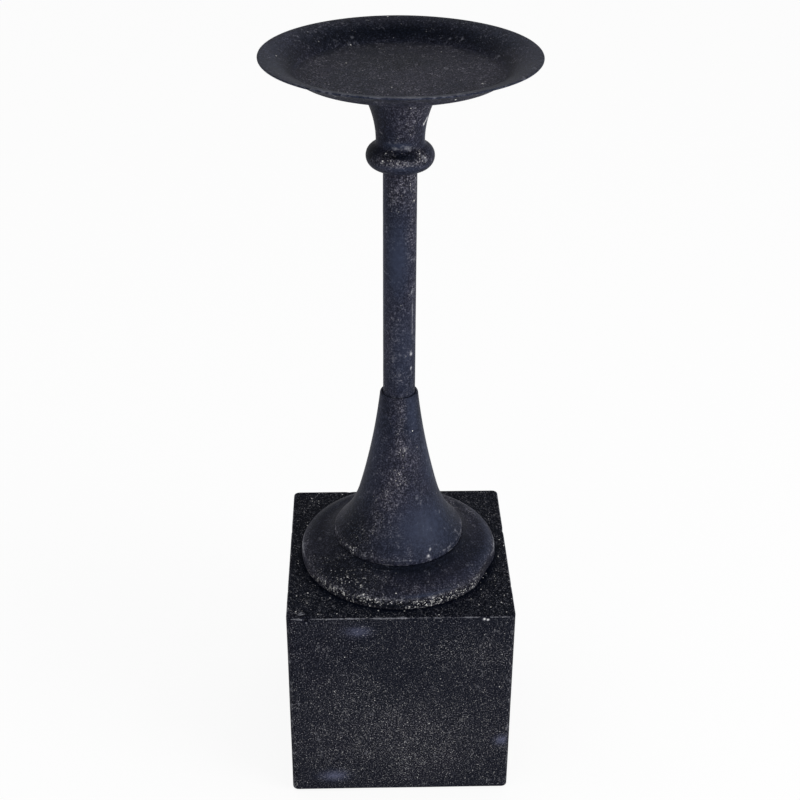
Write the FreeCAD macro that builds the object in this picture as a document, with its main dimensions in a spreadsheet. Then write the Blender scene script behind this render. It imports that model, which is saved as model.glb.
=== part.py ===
"""A candlestick: a spun iron pan on a tall stem, standing on a painted wooden block.

Lengths are millimetres and angles degrees. +Z is up, and the origin lies on the floor under the
middle of the block. The pieces are stacked, and one rod in tension holds them together.
"""
import FreeCAD
import Part

import math
import os
from collections import namedtuple

import Sketcher
from FreeCAD import Rotation, Vector

SIZES = {
    # Felt pads under the block
    "pad_diameter": 20,
    "pad_thickness": 2,
    "pad_inset": 17,
    # Wooden block
    "block_side": 114,
    "block_height": 114,
    "block_corner": 3,
    "block_arris": 0.6,
    "block_bore_clearance": 0.6,
    "recess_clearance": 3,
    "recess_cover": 4,
    # Spun disc on the block
    "disc_diameter": 102,
    "disc_band_height": 7,
    "disc_band_swell": 0.7,
    "disc_rise": 7,
    "disc_field_swell": 0.5,
    "disc_ledge_margin": 0.4,
    "disc_step": 1.2,
    "disc_sheet": 1.2,
    # Bell around the lower stem
    "bell_height": 83.3,
    "bell_foot_diameter": 66.6,
    "bell_lip": 3,
    "bell_waist_diameter": 40,
    "bell_waist_height": 26.8,
    "bell_upper_swell": 1.1,
    "bell_lower_swell": 1.7,
    "bell_sheet": 1.2,
    "bell_lip_clearance": 0.2,
    "bell_mouth_clearance": 0.3,
    # Stem tube, with the bushes in its ends and the ring that holds the bell
    "stem_diameter": 15.9,
    "stem_wall": 1.5,
    "stem_length": 206.8,
    "plug_length": 14,
    "plug_chamfer": 0.5,
    "ring_depth": 8,
    "ring_height": 6,
    "fit_clearance": 0.1,
    # Cast collar under the pan
    "collar_height": 43.4,
    "collar_wall": 2,
    "collar_web": 4,
    "bead_height": 11.3,
    "bead_land": 2.15,
    "neck_diameter": 22.4,
    "neck_fillet": 1.6,
    "cup_diameter": 46.6,
    # Candle pan
    "pan_floor_diameter": 92,
    "pan_rim_width": 16.9,
    "pan_depth": 9,
    "pan_bend": 1,
    "pan_wall_angle": 48,
    "pan_sheet": 0.8,
    # Rod, nuts and washers
    "rod_diameter": 8,
    "rod_chamfer": 0.8,
    "rod_clearance": 0.3,
    "rod_overhang": 3,
    "rod_end_gap": 0.5,
    "thread_clearance": 0.05,
    "nut_flats": 13,
    "nut_height": 6.5,
    "nut_chamfer": 0.6,
    "washer_diameter": 24,
    "washer_thickness": 2,
    "spring_washer_rim": 3.1,
    "spring_washer_thickness": 2,
    "spring_washer_slit": 2,
}

# A sketch counts the points of an edge from 1. Its origin is the start of its level axis.
START, END, CENTRE = range(1, 4)
LEVEL_AXIS, UPRIGHT_AXIS = range(-1, -3, -1)
ORIGIN = LEVEL_AXIS

# An edge that rises less than this is level
LEVEL_TOLERANCE = 0.001

# Which way an arc turns on its way along an outline
LEFT, RIGHT = "left", "right"

# A corner of an outline, as expressions. An arc leads to it where arc gives a radius.
Corner = namedtuple("Corner", "radius height arc turn", defaults=(None, LEFT))


def arc_radius(across, along, swell):
    """Radius of the arc over a chord, from how far it stands out from that chord."""
    return f"((({across})^2 + ({along})^2) / (8 * {swell}) + {swell} / 2)"


# Radii that several pieces share
STEM_RADIUS = "sizes.stem_diameter / 2"
STEM_BORE = f"({STEM_RADIUS} - sizes.stem_wall)"
ROD_RADIUS = "sizes.rod_diameter / 2"
ROD_HOLE = f"({ROD_RADIUS} + sizes.rod_clearance)"
SOCKET_RADIUS = f"({STEM_RADIUS} + sizes.fit_clearance)"
BELL_FOOT = "sizes.bell_foot_diameter / 2"
BELL_WAIST = "sizes.bell_waist_diameter / 2"
BELL_MOUTH = f"({STEM_RADIUS} + sizes.bell_mouth_clearance + sizes.bell_sheet)"

# The collar's bead, neck and socket, above the collar's underside
BEAD_ROUND = "sizes.bead_height / 2"
BEAD_CENTRE = f"({SOCKET_RADIUS} + sizes.bead_land)"
NECK_RADIUS = "sizes.neck_diameter / 2"
FILLET_REACH = f"({BEAD_ROUND} + sizes.neck_fillet)"
FILLET_ACROSS = f"({NECK_RADIUS} + sizes.neck_fillet - {BEAD_CENTRE})"
FILLET_ALONG = f"sqrt({FILLET_REACH}^2 - {FILLET_ACROSS}^2)"
NECK_HEIGHT = f"({BEAD_ROUND} + {FILLET_ALONG})"
SOCKET_DEPTH = f"({NECK_HEIGHT} - sizes.collar_web)"

# The nut's recess under the block
RECESS_DEPTH = (
    "(sizes.washer_thickness + sizes.spring_washer_thickness + sizes.nut_height"
    " + sizes.rod_overhang + sizes.recess_cover)"
)

# Levels of the stack above the floor
BLOCK_BOTTOM = "sizes.pad_thickness"
BLOCK_TOP = f"({BLOCK_BOTTOM} + sizes.block_height)"
BELL_SEAT = f"({BLOCK_TOP} + sizes.disc_band_height + sizes.disc_rise)"
STEM_FOOT = f"({BELL_SEAT} + sizes.disc_step)"
STEM_TOP = f"({STEM_FOOT} + sizes.stem_length)"
COLLAR_BOTTOM = f"({STEM_TOP} - {SOCKET_DEPTH})"
PAN_BOTTOM = f"({COLLAR_BOTTOM} + sizes.collar_height)"
WASHER_LEVEL = f"({BLOCK_BOTTOM} + {RECESS_DEPTH} - sizes.washer_thickness)"
SPRING_WASHER_LEVEL = f"({WASHER_LEVEL} - sizes.spring_washer_thickness)"
TIE_NUT_LEVEL = f"({SPRING_WASHER_LEVEL} - sizes.nut_height)"
ROD_BOTTOM = f"({TIE_NUT_LEVEL} - sizes.rod_overhang)"

os.makedirs("parts", exist_ok=True)
doc = FreeCAD.newDocument("candlestick")
sheet = doc.addObject("Spreadsheet::Sheet", "sizes")
for row, (name, size) in enumerate(SIZES.items(), start=1):
    sheet.set(f"A{row}", name)
    sheet.set(f"B{row}", str(size))
    sheet.setAlias(f"B{row}", name)
doc.recompute()


def value(expression):
    """What an expression comes to with the sheet's present sizes."""
    return float(sheet.evalExpression(expression))


def bind(sketch, constraint, expression):
    """Add a measured constraint to a sketch and let the sheet drive it."""
    number = sketch.addConstraint(constraint)
    sketch.setExpression(f"Constraints[{number}]", expression)


def pin(sketch, edge, end, corner):
    """Hold one end of an edge at a corner, measured from the sketch's axes."""
    measures = (
        ("DistanceX", UPRIGHT_AXIS, corner.radius),
        ("DistanceY", LEVEL_AXIS, corner.height),
    )
    for kind, axis, expression in measures:
        if expression == "0":
            sketch.addConstraint(Sketcher.Constraint("PointOnObject", edge, end, axis))
        else:
            distance = Sketcher.Constraint(kind, ORIGIN, START, edge, end, value(expression))
            bind(sketch, distance, expression)


def arc_between(first, last, radius, turn):
    """The lesser arc from one point to another, with its centre on the side that it turns to."""
    chord = last - first
    side = 1 if turn == LEFT else -1
    reach = math.sqrt(max(radius**2 - chord.Length**2 / 4, 0))
    centre = (first + last) / 2 + Vector(-chord.y, chord.x) * (side * reach / chord.Length)
    angles = [math.atan2(point.y - centre.y, point.x - centre.x) for point in (first, last)]
    if turn == RIGHT:
        angles.reverse()
    return Part.ArcOfCircle(Part.Circle(centre, Vector(0, 0, 1), radius), *angles)


def draw(sketch, corners, closed):
    """Draw an outline through the corners, and bind its corners and arcs to the sheet."""
    points = [Vector(value(corner.radius), value(corner.height)) for corner in corners]
    steps = list(range(1, len(corners)))
    if closed:
        steps.append(0)
    first_edge = None
    last_edge = None
    for step in steps:
        corner = corners[step]
        start, end = START, END
        if corner.arc is None:
            edge = sketch.addGeometry(Part.LineSegment(points[step - 1], points[step]))
        else:
            radius = value(corner.arc)
            edge = sketch.addGeometry(arc_between(points[step - 1], points[step], radius, corner.turn))
            bind(sketch, Sketcher.Constraint("Radius", edge, radius), corner.arc)
            if corner.turn == RIGHT:
                start, end = END, START
        if last_edge is None:
            first_edge = (edge, start)
            pin(sketch, edge, start, corners[0])
        else:
            sketch.addConstraint(Sketcher.Constraint("Coincident", *last_edge, edge, start))
        if step == 0:
            sketch.addConstraint(Sketcher.Constraint("Coincident", edge, end, *first_edge))
        else:
            pin(sketch, edge, end, corner)
        last_edge = (edge, end)


def new_body(label):
    """An empty body for one sub-part."""
    return doc.addObject("PartDesign::Body", label)


def body_sketch(body, name, role):
    """A sketch of a body, lying on the origin plane with that role."""
    sketch = body.newObject("Sketcher::SketchObject", name)
    plane = next(feature for feature in body.Origin.OriginFeatures if feature.Role == role)
    sketch.AttachmentSupport = (plane, [""])
    sketch.MapMode = "FlatFace"
    return sketch


def raise_to(piece, level):
    """Stand a sub-part at its level of the stack."""
    piece.setExpression("Placement.Base.z", level)
    return piece


def turned(label, corners):
    """A solid turned about the upright axis from a closed outline."""
    body = new_body(label)
    profile = body_sketch(body, f"{label}_profile", "XZ_Plane")
    draw(profile, corners, closed=True)
    revolution = body.newObject("PartDesign::Revolution", f"{label}_turned")
    revolution.Profile = profile
    revolution.ReferenceAxis = (profile, ["V_Axis"])
    revolution.Angle = 360
    return body


def spun(label, skin, thickness):
    """A shell of spun sheet, from its outer skin. The sheet lies to the left of the skin's way."""
    profile = doc.addObject("Sketcher::SketchObject", f"{label}_skin")
    profile.Placement.Rotation = Rotation(Vector(1, 0, 0), 90)
    draw(profile, skin, closed=False)
    wall = doc.addObject("Part::Offset2D", f"{label}_wall")
    wall.Source = profile
    wall.Mode = "Skin"
    wall.Join = "Intersection"
    wall.Fill = True
    wall.setExpression("Value", thickness)
    shell = doc.addObject("Part::Revolution", label)
    shell.Source = wall
    shell.Axis = Vector(0, 0, 1)
    shell.Angle = 360
    shell.Solid = True
    return shell


def ring(label, bore, outer, height):
    """A plain turned ring."""
    corners = [Corner(bore, "0"), Corner(outer, "0"), Corner(outer, height), Corner(bore, height)]
    return turned(label, corners)


def cut_round(body, name, diameter, depth=None):
    """Bore a round hole up into a body from its underside, right through if no depth is given."""
    sketch = body_sketch(body, f"{name}_circle", "XY_Plane")
    circle = sketch.addGeometry(Part.Circle(Vector(), Vector(0, 0, 1), value(diameter) / 2))
    sketch.addConstraint(Sketcher.Constraint("Coincident", circle, CENTRE, ORIGIN, START))
    bind(sketch, Sketcher.Constraint("Diameter", circle, value(diameter)), diameter)
    pocket = body.newObject("PartDesign::Pocket", name)
    pocket.Profile = sketch
    pocket.Reversed = True
    if depth is None:
        pocket.Type = "ThroughAll"
    else:
        pocket.setExpression("Length", depth)


def round_edges(body, base, name, radius, level):
    """Round all level edges of a body's last feature, or all that aren't level."""
    fillet = body.newObject("PartDesign::Fillet", name)
    edges = []
    for number, edge in enumerate(base.Shape.Edges, start=1):
        if (edge.BoundBox.ZLength < LEVEL_TOLERANCE) == level:
            edges.append(f"Edge{number}")
    fillet.Base = (base, edges)
    fillet.setExpression("Radius", radius)
    doc.recompute()
    return fillet


def felt_pads():
    """Four felt pads, one near each corner of the block."""
    reach = "(sizes.block_side / 2 - sizes.pad_inset)"
    pads = []
    for across in (-1, 1):
        for along in (-1, 1):
            pad = doc.addObject("Part::Cylinder", "pad")
            pad.setExpression("Radius", "sizes.pad_diameter / 2")
            pad.setExpression("Height", "sizes.pad_thickness")
            pad.setExpression("Placement.Base.x", f"{across} * {reach}")
            pad.setExpression("Placement.Base.y", f"{along} * {reach}")
            pads.append(pad)
    group = doc.addObject("Part::Compound", "felt_pads")
    group.Links = pads
    return group


def base_block():
    """The wooden block, bored for the rod and recessed underneath for its nut."""
    body = new_body("base_block")
    sketch = body_sketch(body, "block_square", "XY_Plane")
    half = value("sizes.block_side / 2")
    turns = [(-half, -half), (half, -half), (half, half), (-half, half)]
    for i, turn in enumerate(turns):
        sketch.addGeometry(Part.LineSegment(Vector(*turn), Vector(*turns[(i + 1) % 4])))
        sketch.addConstraint(Sketcher.Constraint("Horizontal" if i % 2 == 0 else "Vertical", i))
    for i in range(4):
        sketch.addConstraint(Sketcher.Constraint("Coincident", i, END, (i + 1) % 4, START))
    sketch.addConstraint(Sketcher.Constraint("Symmetric", 0, START, 2, START, ORIGIN, START))
    sketch.addConstraint(Sketcher.Constraint("Equal", 0, 1))
    bind(sketch, Sketcher.Constraint("Distance", 0, 2 * half), "sizes.block_side")
    pad = body.newObject("PartDesign::Pad", "block_pad")
    pad.Profile = sketch
    pad.setExpression("Length", "sizes.block_height")
    doc.recompute()

    corners = round_edges(body, pad, "block_corners", "sizes.block_corner", level=False)
    round_edges(body, corners, "block_arrises", "sizes.block_arris", level=True)
    cut_round(body, "rod_bore", f"2 * ({ROD_RADIUS} + sizes.block_bore_clearance)")
    recess = "(sizes.washer_diameter + 2 * sizes.recess_clearance)"
    cut_round(body, "nut_recess", recess, RECESS_DEPTH)
    return raise_to(body, BLOCK_BOTTOM)


def base_disc():
    """The inverted saucer on the block, with a step that the bell's lip drops over."""
    edge = "(sizes.disc_diameter / 2 - sizes.disc_band_swell)"
    ledge = f"({BELL_FOOT} + sizes.disc_ledge_margin)"
    step = f"({BELL_FOOT} - sizes.bell_sheet - sizes.bell_lip_clearance)"
    band = "sizes.disc_band_height"
    seat = "(sizes.disc_band_height + sizes.disc_rise)"
    top = f"({seat} + sizes.disc_step)"
    skin = [
        Corner(edge, "0"),
        Corner(edge, band, arc_radius("0", band, "sizes.disc_band_swell")),
        Corner(ledge, seat, arc_radius(f"{edge} - {ledge}", "sizes.disc_rise", "sizes.disc_field_swell")),
        Corner(step, seat),
        Corner(step, top),
        Corner(ROD_HOLE, top),
    ]
    return raise_to(spun("base_disc", skin, "sizes.disc_sheet"), BLOCK_TOP)


def bell_upper_chord():
    """How far the bell's upper part reaches across and along, from waist to mouth."""
    return f"({BELL_WAIST} - {BELL_MOUTH})", "(sizes.bell_height - sizes.bell_waist_height)"


def bell_foot():
    """The trumpet-shaped foot, standing on its turned-down lip."""
    across, along = bell_upper_chord()
    upper = arc_radius(across, along, "sizes.bell_upper_swell")
    lower = arc_radius(
        f"{BELL_FOOT} - {BELL_WAIST}", "sizes.bell_waist_height - sizes.bell_lip", "sizes.bell_lower_swell"
    )
    skin = [
        Corner(BELL_FOOT, "0"),
        Corner(BELL_FOOT, "sizes.bell_lip"),
        Corner(BELL_WAIST, "sizes.bell_waist_height", lower, RIGHT),
        Corner(BELL_MOUTH, "sizes.bell_height", upper, RIGHT),
    ]
    return raise_to(spun("bell_foot", skin, "sizes.bell_sheet"), BELL_SEAT)


def bell_bore(height):
    """Radius inside the bell's upper part, at a height above its lip."""
    across, along = bell_upper_chord()
    radius = arc_radius(across, along, "sizes.bell_upper_swell")
    chord = f"sqrt({across}^2 + {along}^2)"
    reach = f"({radius} - sizes.bell_upper_swell) / {chord}"
    centre_radius = f"(({BELL_WAIST} + {BELL_MOUTH}) / 2 + {reach} * {along})"
    centre_height = f"((sizes.bell_height + sizes.bell_waist_height) / 2 + {reach} * {across})"
    drop = f"({centre_height} - {height})"
    return f"({centre_radius} - sqrt(({radius} + sizes.bell_sheet)^2 - {drop}^2))"


def neck_ring():
    """The tapered ring, fixed on the tube, that the bell's neck lies on."""
    bore = f"({STEM_RADIUS} + sizes.fit_clearance / 2)"
    top = "(sizes.bell_height - sizes.ring_depth)"
    bottom = f"({top} - sizes.ring_height)"
    corners = [
        Corner(bore, "0"),
        Corner(f"{bell_bore(bottom)} - sizes.fit_clearance", "0"),
        Corner(f"{bell_bore(top)} - sizes.fit_clearance", "sizes.ring_height"),
        Corner(bore, "sizes.ring_height"),
    ]
    return raise_to(turned("neck_ring", corners), f"{BELL_SEAT} + {bottom}")


def stem_tube():
    """The straight tube, from the disc up into the collar's socket."""
    return raise_to(ring("stem_tube", STEM_BORE, STEM_RADIUS, "sizes.stem_length"), STEM_FOOT)


def stem_plug(label, level):
    """A bush in one end of the tube, which keeps the rod in the middle."""
    outer = f"({STEM_BORE} - sizes.fit_clearance)"
    slim = f"({outer} - sizes.plug_chamfer)"
    corners = [
        Corner(ROD_HOLE, "0"),
        Corner(slim, "0"),
        Corner(outer, "sizes.plug_chamfer"),
        Corner(outer, "sizes.plug_length - sizes.plug_chamfer"),
        Corner(slim, "sizes.plug_length"),
        Corner(ROD_HOLE, "sizes.plug_length"),
    ]
    return raise_to(turned(label, corners), level)


def neck_collar():
    """The cast collar: a bead with the stem's socket in it, a neck, and a cup under the pan."""
    share = f"({BEAD_ROUND} / {FILLET_REACH})"
    rise = f"(sizes.collar_height - {NECK_HEIGHT})"
    spread = f"(sizes.cup_diameter / 2 - {NECK_RADIUS})"
    flare = f"(({rise}^2 + {spread}^2) / (2 * {spread}))"
    inner_flare = f"({flare} + sizes.collar_wall)"
    corners = [
        Corner(SOCKET_RADIUS, "0"),
        Corner(BEAD_CENTRE, "0"),
        Corner(
            f"{BEAD_CENTRE} + {share} * {FILLET_ACROSS}",
            f"{BEAD_ROUND} + {share} * {FILLET_ALONG}",
            BEAD_ROUND,
        ),
        Corner(NECK_RADIUS, NECK_HEIGHT, "sizes.neck_fillet", RIGHT),
        Corner("sizes.cup_diameter / 2", "sizes.collar_height", flare, RIGHT),
        Corner(f"{NECK_RADIUS} + {flare} - sqrt({inner_flare}^2 - {rise}^2)", "sizes.collar_height"),
        Corner(f"{NECK_RADIUS} - sizes.collar_wall", NECK_HEIGHT, inner_flare),
        Corner(ROD_HOLE, NECK_HEIGHT),
        Corner(ROD_HOLE, SOCKET_DEPTH),
        Corner(SOCKET_RADIUS, SOCKET_DEPTH),
    ]
    return raise_to(turned("neck_collar", corners), COLLAR_BOTTOM)


def drip_pan():
    """The shallow pan for the candle: a flat floor, a bend, and a wall that flares out to the rim."""
    angle = "(sizes.pan_wall_angle * 1 deg)"
    bend = "(sizes.pan_bend + sizes.pan_sheet)"
    floor = "sizes.pan_floor_diameter / 2"
    wall_across = f"({floor} + {bend} * sin({angle}))"
    wall_along = f"({bend} * (1 - cos({angle})))"
    rim_across = f"({floor} + sizes.pan_rim_width)"
    rim_along = "(sizes.pan_depth - sizes.pan_sheet)"
    across = f"({rim_across} - {wall_across})"
    along = f"({rim_along} - {wall_along})"
    chord = f"sqrt({across}^2 + {along}^2)"
    flare = f"({chord} / (2 * sin({angle} - atan({along} / {across}))))"
    skin = [
        Corner("0", "0"),
        Corner(floor, "0"),
        Corner(wall_across, wall_along, bend),
        Corner(rim_across, rim_along, flare, RIGHT),
    ]
    return raise_to(spun("drip_pan", skin, "sizes.pan_sheet"), PAN_BOTTOM)


def hex_nut(label, level):
    """A hex nut on the rod, with its corners chamfered."""
    bore = f"({ROD_RADIUS} + sizes.thread_clearance)"
    corner_radius = "(sizes.nut_flats / sqrt(3))"
    face_radius = f"({corner_radius} - 2 * sizes.nut_chamfer)"
    profile = [
        Corner(bore, "0"),
        Corner(face_radius, "0"),
        Corner(corner_radius, "sizes.nut_chamfer"),
        Corner(corner_radius, "sizes.nut_height - sizes.nut_chamfer"),
        Corner(face_radius, "sizes.nut_height"),
        Corner(bore, "sizes.nut_height"),
    ]
    hexagon = doc.addObject("Part::Prism", f"{label}_hexagon")
    hexagon.Polygon = 6
    hexagon.setExpression("Circumradius", corner_radius)
    hexagon.setExpression("Height", "sizes.nut_height")
    nut = doc.addObject("Part::Common", label)
    nut.Base = hexagon
    nut.Tool = turned(f"{label}_round", profile)
    return raise_to(nut, level)


def tie_rod():
    """The rod in tension, from the nut under the block up to the nut under the pan."""
    length = f"({PAN_BOTTOM} - sizes.rod_end_gap - {ROD_BOTTOM})"
    tip = f"({ROD_RADIUS} - sizes.rod_chamfer)"
    corners = [
        Corner("0", "0"),
        Corner(tip, "0"),
        Corner(ROD_RADIUS, "sizes.rod_chamfer"),
        Corner(ROD_RADIUS, f"{length} - sizes.rod_chamfer"),
        Corner(tip, length),
        Corner("0", length),
    ]
    return raise_to(turned("tie_rod", corners), ROD_BOTTOM)


def flat_washer():
    """The wide washer that bears on the wood."""
    washer = ring("flat_washer", ROD_HOLE, "sizes.washer_diameter / 2", "sizes.washer_thickness")
    return raise_to(washer, WASHER_LEVEL)


def spring_washer():
    """The split washer between the flat washer and the nut."""
    outer = f"({ROD_HOLE} + sizes.spring_washer_rim)"
    blank = ring("spring_washer_ring", ROD_HOLE, outer, "sizes.spring_washer_thickness")
    slit = doc.addObject("Part::Box", "spring_washer_slit")
    slit.setExpression("Length", f"2 * {outer}")
    slit.setExpression("Width", "sizes.spring_washer_slit")
    slit.setExpression("Height", "sizes.spring_washer_thickness")
    slit.setExpression("Placement.Base.y", "-sizes.spring_washer_slit / 2")
    washer = doc.addObject("Part::Cut", "spring_washer")
    washer.Base = blank
    washer.Tool = slit
    return raise_to(washer, SPRING_WASHER_LEVEL)


pieces = [
    felt_pads(),
    base_block(),
    base_disc(),
    bell_foot(),
    neck_ring(),
    stem_tube(),
    stem_plug("lower_stem_plug", STEM_FOOT),
    stem_plug("upper_stem_plug", f"{STEM_TOP} - sizes.plug_length"),
    neck_collar(),
    drip_pan(),
    hex_nut("pan_nut", f"{PAN_BOTTOM} - sizes.nut_height"),
    tie_rod(),
    flat_washer(),
    spring_washer(),
    hex_nut("tie_nut", TIE_NUT_LEVEL),
]
doc.recompute()

for item in doc.Objects:
    if {"Invalid", "Error"} & set(item.State):
        raise RuntimeError(f"{item.Label} can't be worked out: {item.State}")
for piece in pieces:
    if piece.Shape.isNull() or not piece.Shape.isValid():
        raise RuntimeError(f"{piece.Label} has no sound shape")
    piece.Shape.exportStep(f"parts/{piece.Label}.step")
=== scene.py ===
"""A candlestick on a wooden block, dressed for rendering.

The packed solids are loaded as a fixed frame. Each piece that shows is built again over its solid, with
the uneven walls, eased edges, dents and rubbed paint of a hand-finished piece, and rides where its solid
stands.
"""

import math
from collections import namedtuple

import bmesh
import bpy
import numpy as np
from bpy.props import FloatProperty, FloatVectorProperty, IntProperty, PointerProperty
from bpy.types import Operator, Panel, PropertyGroup
from mathutils import Matrix, Vector, noise


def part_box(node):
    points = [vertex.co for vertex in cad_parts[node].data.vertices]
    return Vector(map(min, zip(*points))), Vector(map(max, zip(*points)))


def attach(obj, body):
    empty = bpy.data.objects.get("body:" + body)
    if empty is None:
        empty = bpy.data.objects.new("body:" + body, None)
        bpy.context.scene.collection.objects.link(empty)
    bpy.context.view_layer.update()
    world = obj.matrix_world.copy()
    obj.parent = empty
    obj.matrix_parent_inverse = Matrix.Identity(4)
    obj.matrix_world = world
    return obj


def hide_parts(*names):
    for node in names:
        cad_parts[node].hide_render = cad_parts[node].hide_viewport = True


bl_info = {
    "name": "Candlestick",
    "version": (1, 0, 0),
    "blender": (4, 5, 0),
    "location": "3D View > Sidebar > Candlestick",
    "description": "Builds the visible pieces of a candlestick over its packed solids",
    "category": "Object",
}

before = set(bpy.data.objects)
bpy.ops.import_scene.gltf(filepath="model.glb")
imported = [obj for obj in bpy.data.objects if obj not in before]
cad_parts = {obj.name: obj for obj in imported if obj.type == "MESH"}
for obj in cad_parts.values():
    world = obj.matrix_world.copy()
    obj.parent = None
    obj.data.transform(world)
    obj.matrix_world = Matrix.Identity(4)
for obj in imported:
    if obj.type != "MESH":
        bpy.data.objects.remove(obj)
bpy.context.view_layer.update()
PAN_LOW, PAN_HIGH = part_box("drip_pan")
COLLAR_LOW, COLLAR_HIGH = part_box("neck_collar")
STEM_LOW, STEM_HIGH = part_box("stem_tube")
BELL_LOW, BELL_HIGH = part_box("bell_foot")
DISC_LOW, DISC_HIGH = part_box("base_disc")
BLOCK_LOW, BLOCK_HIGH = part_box("base_block")
PADS_LOW, PADS_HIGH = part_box("felt_pads")

MM = 0.001

# How many points draw an arc of an outline, an eased corner, and a sheet's free end
ARC_POINTS = 97
EASE_POINTS = 9
END_POINTS = 7

# Points nearer than this are one: at the lathe's seam, and in a finished mesh
SEAM = 1e-6
WELD = 1e-7

# A place on a piece: a turn in degrees round the axis, from the front to the right, a height in
# millimetres, how wide it is in degrees, how tall in millimetres, and how strong the wear is there
Patch = namedtuple("Patch", "turn height wide tall amount")

# A ring round a piece, in millimetres, where an edge or a corner of its outline runs
Ring = namedtuple("Ring", "radius height width amount")

# A small place of its own on a piece, in millimetres
Spot = namedtuple("Spot", "x y z reach amount")

# A knock on a top edge of the block: the side it is on, counted from the front to the right, and in
# millimetres how far along that side, how wide and how deep
Knock = namedtuple("Knock", "side along wide deep")

# How the paint has aged on a piece: rubbed to specks all over, in patches and in rings, polished blue-grey
# or thick and dark in patches, and bare along rings and in small patches. The polish also lays painted sheen
# and highlight, the dark thick paint lays painted shade, and some of the bare places are painted highlights
Wear = namedtuple("Wear", "ground rubs rings hazes soots edges chips", defaults=(0.0,) + ((),) * 6)


def linear(code):
    """The linear colour of an sRGB hex code."""
    shares = [int(code[i : i + 2], 16) / 255 for i in (1, 3, 5)]
    return [s / 12.92 if s <= 0.04045 else ((s + 0.055) / 1.055) ** 2.4 for s in shares] + [1.0]


def length(name, description, default):
    """A length that the user may change, in metres."""
    return FloatProperty(
        name=name, description=description, default=default, min=0, unit="LENGTH", precision=5
    )


def angle(name, description, default):
    """An angle that the user may change, in radians."""
    return FloatProperty(name=name, description=description, default=default, unit="ROTATION")


def power(name, description, default):
    """The power of a lamp that the user may change, in watts."""
    return FloatProperty(name=name, description=description, default=default, unit="POWER")


def faces(piece, default):
    """The number of faces round a piece, which the user may change."""
    return IntProperty(name="Steps", description=f"Faces round the {piece}", default=default, min=16)


def colour(name, description, code):
    """A colour that the user may change, given as an sRGB hex code."""
    return FloatVectorProperty(
        name=name, description=description, default=linear(code), size=4, min=0, max=1, subtype="COLOR"
    )


class PanSettings(PropertyGroup):
    """Sizes of the drip pan."""

    rim_radius: length("Rim radius", "From the axis to the edge of the flared rim", PAN_HIGH.x)
    depth: length("Depth", "From the underside to the top of the rim", PAN_HIGH.z - PAN_LOW.z)
    floor_radius: length("Floor radius", "From the axis to where the floor starts to bend up", 46 * MM)
    bend: length("Bend", "Outer radius of the bend between floor and wall", 1.8 * MM)
    wall_angle: angle("Wall angle", "How steep the wall is above the bend", math.radians(48))
    sheet: length("Sheet", "Thickness of the spun sheet", 0.8 * MM)
    wobble: length("Wobble", "How far the rim dips out of its plane", 0.45 * MM)
    steps: faces("pan", 256)


class CollarSettings(PropertyGroup):
    """Sizes of the collar under the pan."""

    cup_radius: length("Cup radius", "From the axis to the edge of the cup", COLLAR_HIGH.x)
    height: length("Height", "From the bead's underside to the pan", COLLAR_HIGH.z - COLLAR_LOW.z)
    neck_radius: length("Neck radius", "From the axis to the narrowest place", 11.2 * MM)
    bead_radius: length("Bead radius", "Radius of the bead's round", 5.65 * MM)
    bead_centre: length("Bead centre", "From the axis to the centre of the bead's round", 10.2 * MM)
    fillet: length("Fillet", "Radius of the hollow between bead and neck", 1.6 * MM)
    wall: length("Wall", "Thickness of the cup", 2 * MM)
    web: length("Web", "Thickness of the floor between cup and socket", 4 * MM)
    socket_radius: length("Socket radius", "Radius of the hole for the stem", 8.05 * MM)
    rod_hole: length("Rod hole", "Radius of the hole for the rod", 4.3 * MM)
    steps: faces("collar", 144)


class StemSettings(PropertyGroup):
    """Sizes of the stem."""

    radius: length("Radius", "Outer radius of the tube", STEM_HIGH.x)
    wall: length("Wall", "Thickness of the tube", 1.5 * MM)
    ease: length("Ease", "How far the cut ends are rounded", 0.3 * MM)
    steps: faces("tube", 72)


class BellSettings(PropertyGroup):
    """Sizes of the bell-shaped foot."""

    foot_radius: length("Foot radius", "From the axis to the turned-down lip", BELL_HIGH.x)
    height: length("Height", "From the lip's edge to the mouth", BELL_HIGH.z - BELL_LOW.z)
    lip: length("Lip", "Height of the turned-down lip", 3 * MM)
    waist_radius: length("Waist radius", "Radius where the foot's curve meets the neck's", 20 * MM)
    waist_height: length("Waist height", "Height where the foot's curve meets the neck's", 26.8 * MM)
    mouth_radius: length("Mouth radius", "Outer radius at the upper end", 9.45 * MM)
    curl: length("Curl", "How far the mouth is curled in to the stem", 0.75 * MM)
    lower_swell: length("Lower swell", "How far the foot's curve is hollow", 1.7 * MM)
    upper_swell: length("Upper swell", "How far the neck's curve is hollow", 1.1 * MM)
    sheet: length("Sheet", "Thickness of the spun sheet", 1.2 * MM)
    steps: faces("bell", 192)


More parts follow.
